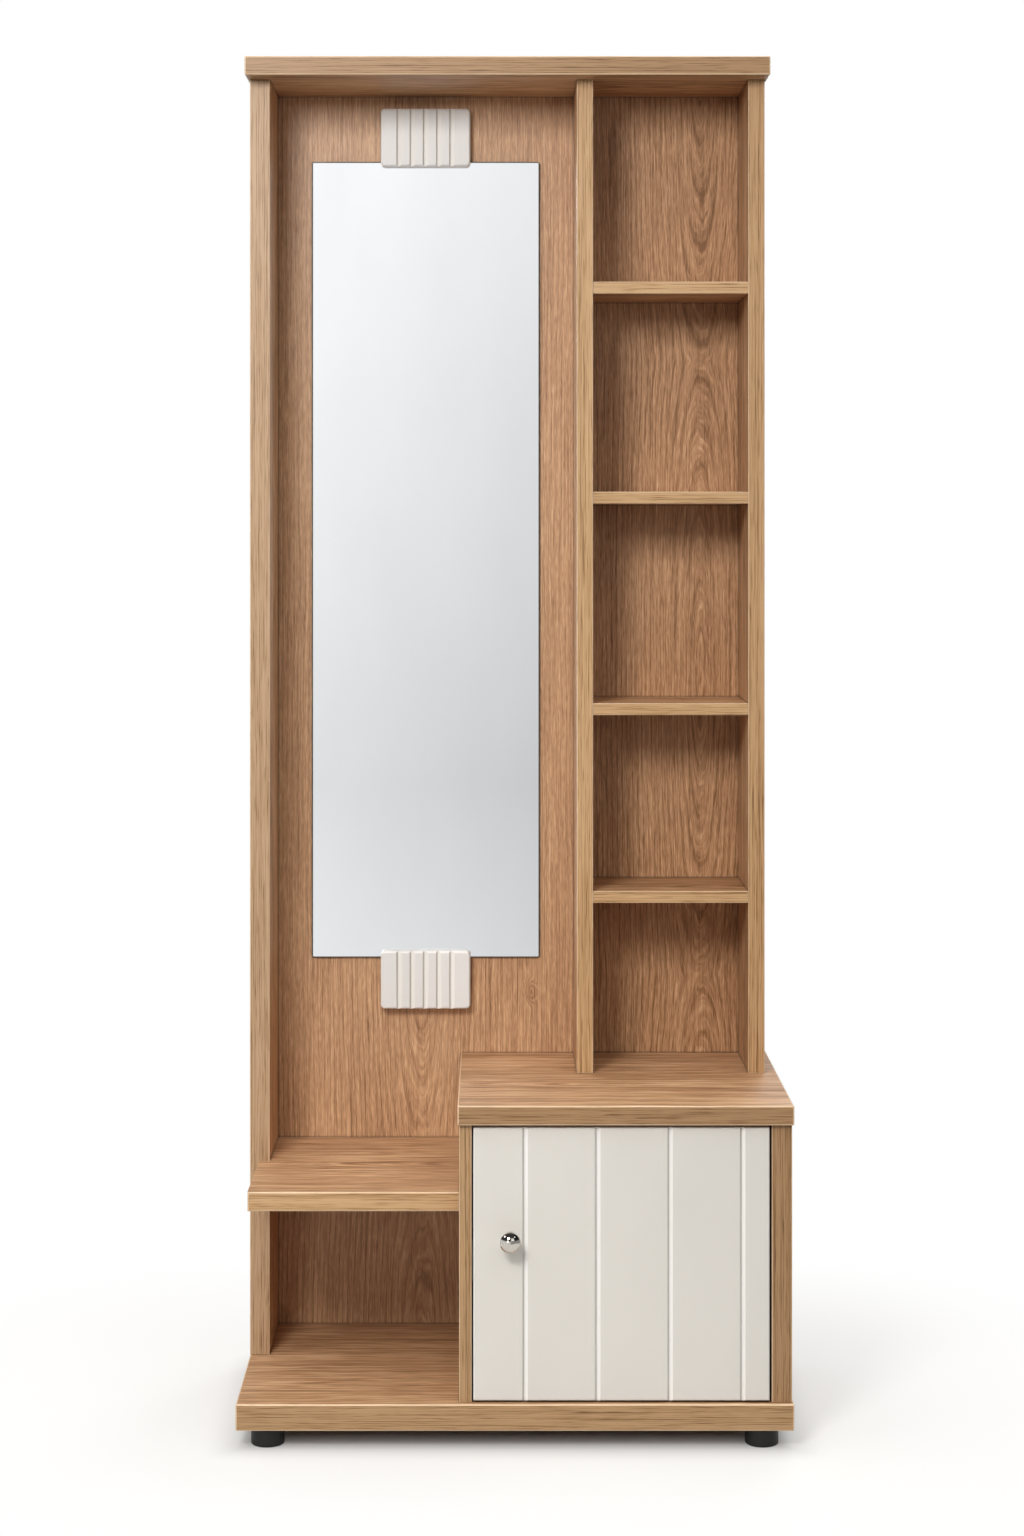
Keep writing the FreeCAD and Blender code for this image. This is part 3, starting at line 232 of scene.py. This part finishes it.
# The arris colour: paler than the band, partly its scraped tone and partly a painted highlight
ARRIS_AND_HIGHLIGHT = ((0.0, "#E6C9A6"), (1.0, "#CAA77E"))
# The band's parts in millimetres: across, through and along the edge
BAND_WANDER, BAND_LINE, BAND_HAIR, BAND_DASH = (40, 40, 160), (2.2, 2.2, 420), (1.2, 1.2, 170), (1.1, 1.1, 40)
BAND_WANDER_MM = 3.0


def oak_band(name, axes, stops, rough):
    material, tree, shader = new_finish(name, {"IOR": 1.5, "Roughness": rough, "Specular IOR Level": 0.35})
    _, moved = board_place(tree, axes, [4.1, 2.7, 9.3])
    wander = flecks(tree, moved, BAND_WANDER, 1.0).outputs["Fac"]
    sway = total(tree, (wander, BAND_WANDER_MM * MM))
    aside = add(tree, "ShaderNodeCombineXYZ", {"X": sway}).outputs["Vector"]
    drawn = add(tree, "ShaderNodeVectorMath", {0: moved, 1: aside}, operation="ADD").outputs["Vector"]
    line = flecks(tree, drawn, BAND_LINE, 3.0, 0.8).outputs["Fac"]
    # Veneer lines are about 0.5 mm wide; they are drawn over 1 mm wide so that they show in the picture
    hair = clipped(tree, flecks(tree, drawn, BAND_HAIR, 1.0).outputs["Fac"], 0.52, 0.68)
    dash = clipped(tree, flecks(tree, drawn, BAND_DASH, 1.0).outputs["Fac"], 0.53, 0.7)
    depth = clipped(tree, total(tree, (line, 0.9), (hair, 0.26), (dash, 0.26)), 0.41, 0.88)
    colour = add(tree, "ShaderNodeValToRGB", {"Fac": depth}, stops)
    tree.links.new(colour.outputs["Color"], shader.inputs["Base Color"])
    relief(tree, shader, line, 0.06, 0.25)
    return material


# Satin lacquer sprayed on MDF: even off-white with a faint orange peel and a soft wide highlight.
def satin_lacquer(name, dark, light):
    material, tree, shader = new_finish(name, {"IOR": 1.5, "Roughness": 0.4, "Specular IOR Level": 0.35})
    _, moved = board_place(tree, "XYZ", [1.0, 2.0, 3.0])
    cloud = flecks(tree, moved, (110, 110, 160), 1.0).outputs["Fac"]
    colour = add(tree, "ShaderNodeValToRGB", {"Fac": cloud}, ((0.25, dark), (0.75, light))).outputs["Color"]
    # Painted shade from ambient occlusion darkens the lacquer in gaps, corners and grooves
    tree.links.new(shaded_in_corners(tree, colour, 0.62), shader.inputs["Base Color"])
    # Orange peel is about 1 mm from hump to hump; it is drawn at 2.5 mm so that it shows in the picture
    peel = flecks(tree, moved, (2.5, 2.5, 2.5), 1.0).outputs["Fac"]
    tree.links.new(clipped(tree, cloud, 0.2, 0.8, 0.37, 0.44), shader.inputs["Roughness"])
    relief(tree, shader, peel, 0.02, 0.12)
    return material


# Silvered float glass: a clear cold reflection, a little dimmer than what it shows, with a breath of haze.
def silvered_glass():
    material, tree, shader = new_finish("silvered_float_glass", {"Metallic": 1.0})
    _, moved = board_place(tree, "XYZ", [0.3, 0.1, 0.7])
    haze = flecks(tree, moved, (90, 90, 200), 3.0).outputs["Fac"]
    tree.links.new(clipped(tree, haze, 0.0, 1.0, 0.012, 0.04), shader.inputs["Roughness"])
    colour = add(tree, "ShaderNodeValToRGB", {"Fac": haze}, ((0.3, "#F8F9FA"), (0.7, "#FBFCFD")))
    tree.links.new(colour.outputs["Color"], shader.inputs["Base Color"])
    return material


# Ground glass edge: the cut rim of the mirror, dark bottle green with a fine grey grind.
def ground_edge():
    material, tree, shader = new_finish("ground_glass_edge", {"IOR": 1.52, "Roughness": 0.3})
    _, moved = board_place(tree, "XYZ", [0.0, 0.0, 0.0])
    grind = flecks(tree, moved, (1.2, 1.2, 6), 2.0)
    colour = add(tree, "ShaderNodeValToRGB", {"Fac": grind.outputs["Fac"]},
                 ((0.3, "#4B5450"), (0.75, "#77807C")))
    tree.links.new(colour.outputs["Color"], shader.inputs["Base Color"])
    return material


def plain_finish(name, dark, light, size_mm, rough, grain_depth_mm, metallic=0.0, sheen=0.5):
    """A one-colour finish with mottling and a fine relief of a real size."""
    material, tree, shader = new_finish(name, {"Metallic": metallic, "Specular IOR Level": sheen})
    _, moved = board_place(tree, "XYZ", [0.9, 0.4, 0.2])
    mottle = flecks(tree, moved, size_mm, 3.0)
    colour = add(tree, "ShaderNodeValToRGB", {"Fac": mottle.outputs["Fac"]}, ((0.3, dark), (0.7, light)))
    tree.links.new(colour.outputs["Color"], shader.inputs["Base Color"])
    gloss = add(tree, "ShaderNodeMapRange", {"Value": mottle.outputs["Fac"], "To Min": rough * 0.85,
                                             "To Max": rough * 1.15})
    tree.links.new(gloss.outputs["Result"], shader.inputs["Roughness"])
    relief(tree, shader, mottle.outputs["Fac"], grain_depth_mm, 0.3)
    return material


# Chrome plate: buffed brass under bright chromium, a mirror with only hair scratches
chrome = plain_finish("polished_chrome_plate", "#C0BAB1", "#CBC5BD", (2, 2, 8), 0.06, 0.002, metallic=1.0)
# Zinc-plated steel: pressed and barrel-plated, so cool grey with a patchy half gloss
zinc = plain_finish("zinc_plated_steel", "#A9ADB1", "#C3C6C9", (1.6, 1.6, 1.6), 0.34, 0.01, metallic=1.0)
# Moulded black plastic: spark-eroded mould skin, a dull charcoal with fine grain
foot_plastic = plain_finish("moulded_black_plastic", "#141211", "#1D1B19", (1.2, 1.2, 1.2), 0.48, 0.05,
                            sheen=0.33)
# Turned beech: pale pinkish wood with short fine flecks
beech = plain_finish("turned_beech", "#C9A179", "#DDBB94", (1, 1, 6), 0.6, 0.04)
# Closed-cell foam tape: dull white with small cells
foam = plain_finish("closed_cell_foam_tape", "#D8D7D2", "#EDECE8", (0.8, 0.8, 0.8), 0.85, 0.1)
# Moulded cap plastic, coloured to the wood
cap_plastic = plain_finish("moulded_cap_plastic", "#B08660", "#BE946D", (1.5, 1.5, 1.5), 0.45, 0.03)
# Moulded white plastic of the catch
catch_plastic = plain_finish("moulded_white_plastic", "#DEDDD8", "#E9E8E4", (1.5, 1.5, 1.5), 0.4, 0.03)
# Sintered ferrite: near black and grainy
ferrite = plain_finish("sintered_ferrite", "#262526", "#343334", (0.7, 0.7, 0.7), 0.55, 0.03)
door_lacquer = satin_lacquer("satin_lacquer_on_mdf", "#DCD7CF", "#E0DBD3")
# The brackets' lacquer is lighter and cooler than the door's: painted light that offsets the top board's shadow
# and the warm bounce from the wood on them
bracket_lacquer = satin_lacquer("satin_lacquer_on_moulded_mdf", "#E5E3E0", "#EAE8E5")
# Painted highlight: arrises and groove slopes that face left or up, toward the key lamp, get this paler,
# brighter lacquer
highlit_lacquer = satin_lacquer("satin_lacquer_painted_highlight", "#F4F1EB", "#F8F5F0")
# Painted shade: steep groove walls that face right, away from the key lamp, get this greyer lacquer
shaded_lacquer = satin_lacquer("satin_lacquer_painted_shade", "#CDC8C0", "#D3CEC7")

# Axes of a board: across the grain, through the board, along the grain
BACKS, UPRIGHTS, FLATS = "XYZ", "YXZ", "YZX"
# How much of the figure is broad clouds, and the tones that the print runs between
CLOUD_SHARE = {BACKS: 0.2, UPRIGHTS: 0.5, FLATS: 0.2}
TONE_RANGE = {BACKS: (0.47, 1.15), UPRIGHTS: (0.71, 1.21), FLATS: (0.56, 1.06)}
# Each board's grain axes, where its pith runs across and meets the face, its arches' distance, any deeper tone
# and any knot
BOARDS = {
    "mirror_back": (BACKS, -125, 690, 72, 0.01, (27, 522)),
    # The shelf back's deeper tone is painted shade of the bays
    "shelf_back": (BACKS, 265, 975, 68, 0.095),
    "cabinet_back": (BACKS, 200, 900, 60),
    "left_side": (UPRIGHTS, 110, 700, 90),
    "divider": (UPRIGHTS, 130, 1300, 80),
    "right_side": (UPRIGHTS, 100, 900, 70, 0.04),
    "cabinet_left_side": (UPRIGHTS, 20, -100, 80),
    "cabinet_right_side": (UPRIGHTS, -10, 700, 75),
    "base_board": (FLATS, -90, 700, 110),
    "ledge": (FLATS, 20, -700, 90),
    "cabinet_top": (FLATS, -40, -500, 100),
    "top_board": (FLATS, 100, 600, 100),
    "shelf_1": (FLATS, 110, 0, 80),
    "shelf_2": (FLATS, 100, 500, 80),
    "shelf_3": (FLATS, 120, -100, 85),
    # The lowest shelf's deeper tone is painted shade of its bay
    "shelf_4": (FLATS, 90, 600, 90, 0.08),
}
# Boards inside the bays, which are seldom wiped: their faces are duller
DUSTY_SHEEN, WIPED_SHEEN = 0.3, 0.55
DUSTY_BOARDS = ("shelf_back", "left_side", "top_board", "shelf_1", "shelf_2", "shelf_3", "shelf_4")
# The darkest band on the top board, the cabinet top and the cabinet's right side is painted shade, as if less
# light reached them; the other tones differ from board to board
BAND_TONES = {"left_side": "middle", "right_side": "warm", "top_board": "shade_darkened", "base_board": "deep",
              "cabinet_top": "shade_darkened", "cabinet_left_side": "deep", "cabinet_right_side": "shade_darkened"}
RUNS = {"X": "YZX", "Y": "XZY", "Z": "XYZ"}
bands = {}
for tone, stops, rough in (("pale", PALE_BAND, 0.45), ("middle", MIDDLE_BAND, 0.45), ("warm", WARM_BAND, 0.45),
                           ("deep", DEEP_BAND, 0.45), ("shade_darkened", SHADE_DARKENED_BAND, 0.45), ("arris", ARRIS_AND_HIGHLIGHT, 0.35)):
    for run, axes in RUNS.items():
        bands[tone, run] = oak_band(f"{tone}_oak_edge_band_{run.lower()}", axes, stops, rough)

FLAT_SHARE = 0.985


def dress(node, finishes, choose):
    """Gives a node its finishes, and each face the one that choose picks from its normal."""
    mesh = pieces[node].data
    mesh.materials.clear()
    for finish in finishes:
        mesh.materials.append(finish)
    for face in mesh.polygons:
        face.material_index = choose(face.normal)


def dress_board(node, seed, axes, *figure):
    """Decor on the board's two faces, edge band on its edges and between them the paler arris, partly scraped
    band and partly painted highlight.
    """
    through = "XYZ".index(axes[1])
    sheen = DUSTY_SHEEN if node in DUSTY_BOARDS else WIPED_SHEEN
    decor = oak_decor("oak_decor_" + node, axes, seed, sheen, *figure)
    runs = ["Z" if axes[2] == "Z" else "X", "Z" if axes[2] == "Z" else "Y"]
    tone = BAND_TONES.get(node, "pale")
    finishes = [decor, bands[tone, runs[0]], bands[tone, runs[1]], bands["arris", runs[0]]]

    def choose(normal):
        if abs(normal[through]) > FLAT_SHARE:
            return 0
        if max(abs(x) for x in normal) < FLAT_SHARE:
            return 3
        return 2 if abs(normal[0]) > FLAT_SHARE else 1

    dress(node, finishes, choose)


for number, (node, figure) in enumerate(BOARDS.items()):
    dress_board(node, number + 1, *figure)

dress("mirror_glass", [silvered_glass(), ground_edge()], lambda normal: 0 if normal[1] < -FLAT_SHARE else 1)


SLOPE_SHARE = 0.25
REAR_SHARE = -0.1


def lit_or_shaded_face(normal):
    """Painted highlight on slopes that face left or up, painted shade on those that face right."""
    if normal[1] > REAR_SHARE or normal[1] < -FLAT_SHARE:
        return 0
    if normal[0] > SLOPE_SHARE:
        return 2
    return 1 if normal[0] < -SLOPE_SHARE or normal[2] > SLOPE_SHARE else 0


# Door and brackets: plain lacquer, with painted highlight and painted shade picked by which way each face turns
for node, finish in (("door_panel", door_lacquer), ("upper_mirror_bracket", bracket_lacquer),
                     ("lower_mirror_bracket", bracket_lacquer)):
    dress(node, [finish, highlit_lacquer, shaded_lacquer], lit_or_shaded_face)

PLAIN_NODES = {
    chrome: ("door_knob",),
    foot_plastic: ("foot_front_left", "foot_front_right", "foot_rear_left", "foot_rear_right"),
    foam: ("mirror_tape",),
    beech: ("shelf_dowels", "upright_dowels"),
    cap_plastic: ("screw_caps",),
    catch_plastic: ("catch_housing",),
    ferrite: ("catch_magnet",),
    zinc: ("foot_screws", "bracket_screws", "base_screws", "top_screws", "left_side_screws",
           "cabinet_side_screws", "ledge_screws", "back_screws", "cam_locks", "cam_bolts",
           "upper_hinge_arm", "lower_hinge_arm",
           "upper_hinge_plate", "lower_hinge_plate", "hinge_plate_screws", "hinge_arm_screws", "catch_poles",
           "catch_screws", "knob_screw", "upper_hinge_cup", "lower_hinge_cup", "upper_hinge_pin",
           "lower_hinge_pin", "cup_screws", "strike_plate", "strike_screw"),
}
for finish, names in PLAIN_NODES.items():
    for node in names:
        dress(node, [finish], lambda normal: 0)


# Studio: a pale floor that is white away from the object, a large soft lamp in front to the left, weak ones low
# at the left, at the right and behind, two small ones at the sides that shine in the knob, and a fill that is
# stronger from above
FLOOR_HALF = 1.3
# Where the floor's glow rises from none under the base board to NEAR_GLOW: the dimmer floor in this band is
# painted shade beside the real shadow
CONTACT_FROM, CONTACT_TO = -0.07, 0.05
CLEAR_REACH = 0.6
NEAR_GLOW = 0.44
FILL_LOW, FILL_HIGH = 0.02, 1.68
# What the mirror shows: a wall whose light falls from upper left to lower right, over a dim strip
WALL_LEVEL = 0.65
WALL_RISE, WALL_LEFT = 1.24, -2.1
WALL_DIP = 0.09
CEILING_FROM, CEILING_TO = 0.14, 0.26
CEILING_LEVEL = 0.06
WALL_LEAST = 0.42


def rays(tree, *kinds):
    """1 for rays of these kinds, 0 for the rest."""
    path = add(tree, "ShaderNodeLightPath").outputs
    found = path[kinds[0]]
    for kind in kinds[1:]:
        found = add(tree, "ShaderNodeMath", {0: found, 1: path[kind]}, operation="MAXIMUM").outputs["Value"]
    return found


def make_floor():
    """A plain matt floor. For the camera and for gloss it glows: not under the base board, a little near its
    edge and fully white further out, so that open floor is white. Close to the object it keeps its real shadow,
    and the glow it lacks there adds painted shade under and around the base."""
    mesh = bpy.data.meshes.new("floor")
    corners = [(x * FLOOR_HALF, y * FLOOR_HALF, 0.0) for x, y in ((-1, -1), (1, -1), (1, 1), (-1, 1))]
    mesh.from_pydata(corners, [], [(0, 1, 2, 3)])
    floor = bpy.data.objects.new("floor", mesh)
    bpy.context.scene.collection.objects.link(floor)
    material, tree, shader = new_finish("pale_floor", {"Base Color": linear("#B4B2AF"), "Roughness": 0.8,
                                                       "Specular IOR Level": 0.1,
                                                       "Emission Color": linear("#FFFFFF")})
    base_low, base_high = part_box("base_board")
    middle = [(low + high) / 2 for low, high in zip(base_low, base_high)][:2] + [0.0]
    half = [(high - low) / 2 for low, high in zip(base_low, base_high)][:2] + [0.0]
    spot = add(tree, "ShaderNodeTexCoord").outputs["Object"]
    centred = add(tree, "ShaderNodeVectorMath", {0: spot, 1: middle}, operation="SUBTRACT")
    folded = add(tree, "ShaderNodeVectorMath", {0: centred.outputs["Vector"]}, operation="ABSOLUTE")
    past = add(tree, "ShaderNodeVectorMath", {0: folded.outputs["Vector"], 1: half}, operation="SUBTRACT")
    outside = add(tree, "ShaderNodeVectorMath", {0: past.outputs["Vector"], 1: [0.0, 0.0, 0.0]},
                  operation="MAXIMUM")
    clear = add(tree, "ShaderNodeVectorMath", {0: outside.outputs["Vector"]},
                operation="LENGTH").outputs["Value"]
    sides = add(tree, "ShaderNodeSeparateXYZ", {"Vector": past.outputs["Vector"]}).outputs
    nearest = add(tree, "ShaderNodeMath", {0: sides["X"], 1: sides["Y"]},
                  operation="MAXIMUM").outputs["Value"]
    inside = add(tree, "ShaderNodeMath", {0: nearest, 1: 0.0}, operation="MINIMUM").outputs["Value"]
    gap = add(tree, "ShaderNodeMath", {0: clear, 1: inside}, operation="ADD").outputs["Value"]
    near = add(tree, "ShaderNodeMapRange", {"Value": gap, "From Min": CONTACT_FROM, "From Max": CONTACT_TO,
                                            "To Max": NEAR_GLOW}, interpolation_type="SMOOTHSTEP")
    far = add(tree, "ShaderNodeMapRange", {"Value": gap, "From Max": CLEAR_REACH},
              interpolation_type="SMOOTHSTEP")
    seen = rays(tree, "Is Camera Ray", "Is Glossy Ray", "Is Transmission Ray")
    glow = add(tree, "ShaderNodeMath", {0: seen, 1: near.outputs["Result"]}, operation="MULTIPLY")
    tree.links.new(glow.outputs["Value"], shader.inputs["Emission Strength"])
    white = add(tree, "ShaderNodeEmission", {"Color": linear("#FFFFFF"), "Strength": 1.0})
    faded = add(tree, "ShaderNodeMath", {0: seen, 1: far.outputs["Result"]}, operation="MULTIPLY")
    mixed = add(tree, "ShaderNodeMixShader", {0: faded.outputs["Value"], 1: shader.outputs["BSDF"],
                                              2: white.outputs["Emission"]})
    end = next(n for n in tree.nodes if n.type == "OUTPUT_MATERIAL")
    tree.links.new(mixed.outputs["Shader"], end.inputs["Surface"])
    mesh.materials.append(material)


def make_world():
    """White where the camera sees past the floor. For diffuse light a fill that grows upwards. For gloss a wall
    that is brightest at its upper left, under a dim ceiling."""
    world = bpy.data.worlds.new("studio")
    bpy.context.scene.world = world
    world.use_nodes = True
    tree = world.node_tree
    tree.nodes.clear()
    way = add(tree, "ShaderNodeTexCoord").outputs["Generated"]
    split = add(tree, "ShaderNodeSeparateXYZ", {"Vector": way})
    above = add(tree, "ShaderNodeMath", {0: split.outputs["Z"], 1: WALL_DIP}, operation="ADD").outputs["Value"]
    folded = add(tree, "ShaderNodeMath", {0: above}, operation="ABSOLUTE").outputs["Value"]
    wall = total(tree, (folded, WALL_RISE), (split.outputs["X"], WALL_LEFT), (1.0, WALL_LEVEL))
    held = clipped(tree, wall, WALL_LEAST, 1.0, WALL_LEAST, 1.0)
    dim = clipped(tree, split.outputs["Z"], CEILING_FROM, CEILING_TO, 1.0, CEILING_LEVEL)
    shown_level = add(tree, "ShaderNodeMath", {0: held, 1: dim}, operation="MULTIPLY").outputs["Value"]
    height = add(tree, "ShaderNodeMath", {0: split.outputs["Z"], 1: 0.0}, operation="MAXIMUM").outputs["Value"]
    steep = add(tree, "ShaderNodeMath", {0: height, 1: 2.0}, operation="POWER").outputs["Value"]
    level = clipped(tree, steep, 0.0, 1.0, FILL_LOW, FILL_HIGH)
    white = add(tree, "ShaderNodeBackground", {"Color": linear("#FFFFFF"), "Strength": 1.0})
    fill = add(tree, "ShaderNodeBackground", {"Color": linear("#FFFFFF"), "Strength": level})
    shine = add(tree, "ShaderNodeBackground", {"Color": linear("#FCFDFE"), "Strength": shown_level})
    lit = add(tree, "ShaderNodeMixShader", {0: rays(tree, "Is Glossy Ray"), 1: fill.outputs["Background"],
                                            2: shine.outputs["Background"]})
    shown = add(tree, "ShaderNodeMixShader", {0: rays(tree, "Is Camera Ray"), 1: lit.outputs["Shader"],
                                              2: white.outputs["Background"]})
    add(tree, "ShaderNodeOutputWorld", {"Surface": shown.outputs["Shader"]})


def soft_lamp(name, place, aim, side, watts, spread):
    lamp = bpy.data.lights.new(name, "AREA")
    lamp.size = side
    lamp.energy = watts
    lamp.spread = math.radians(spread)
    holder = bpy.data.objects.new(name, lamp)
    bpy.context.scene.collection.objects.link(holder)
    holder.location = place
    holder.rotation_euler = (mathutils.Vector(aim) - holder.location).to_track_quat("-Z", "Y").to_euler()
    holder.visible_camera = False


make_floor()
make_world()
# Each lamp's place, aim and side in metres, its watts and how widely it spreads in degrees
LAMPS = (
    ("key_softbox", (-0.85, -2.42, 2.2), (-0.2, 0.0, 0.6), 0.75, 53.5, 180),
    ("low_softbox", (-1.0, -2.6, 0.85), (-0.1, 0.0, 0.15), 0.5, 0.62, 60),
    ("side_softbox", (0.95, -2.42, 1.6), (0.0, 0.0, 1.4), 1.3, 2.7, 100),
    ("back_softbox", (1.2, 2.6, 2.2), (0.0, 0.0, 0.9), 1.2, 22, 180),
    ("left_sparkle", (-2.3, -1.0, 2.5), (0.0, 0.0, 0.5), 0.7, 5, 180),
    ("right_sparkle", (2.3, -1.8, 2.9), (0.0, 0.0, 0.9), 0.45, 2, 180),
)
for lamp in LAMPS:
    soft_lamp(*lamp)

# Camera: level, at the photograph's distance and height, shifted as its picture is framed
PICTURE_LONG_PX = 1536
FOCAL_PX = 2798.4
CENTRE_OFFSET_PX = (19.03, -236.69)
CAMERA_PLACE = (-0.02586, -3.73209, 1.16669)
camera = bpy.data.cameras.new("camera")
camera.sensor_width = 36.0
camera.lens = camera.sensor_width * FOCAL_PX / PICTURE_LONG_PX
camera.shift_x, camera.shift_y = (offset / PICTURE_LONG_PX for offset in CENTRE_OFFSET_PX)
viewer = bpy.data.objects.new("camera", camera)
bpy.context.scene.collection.objects.link(viewer)
viewer.location = CAMERA_PLACE
viewer.rotation_euler = (math.radians(90), 0.0, 0.0)
bpy.context.scene.camera = viewer
bpy.context.scene.view_settings.view_transform = "Standard"
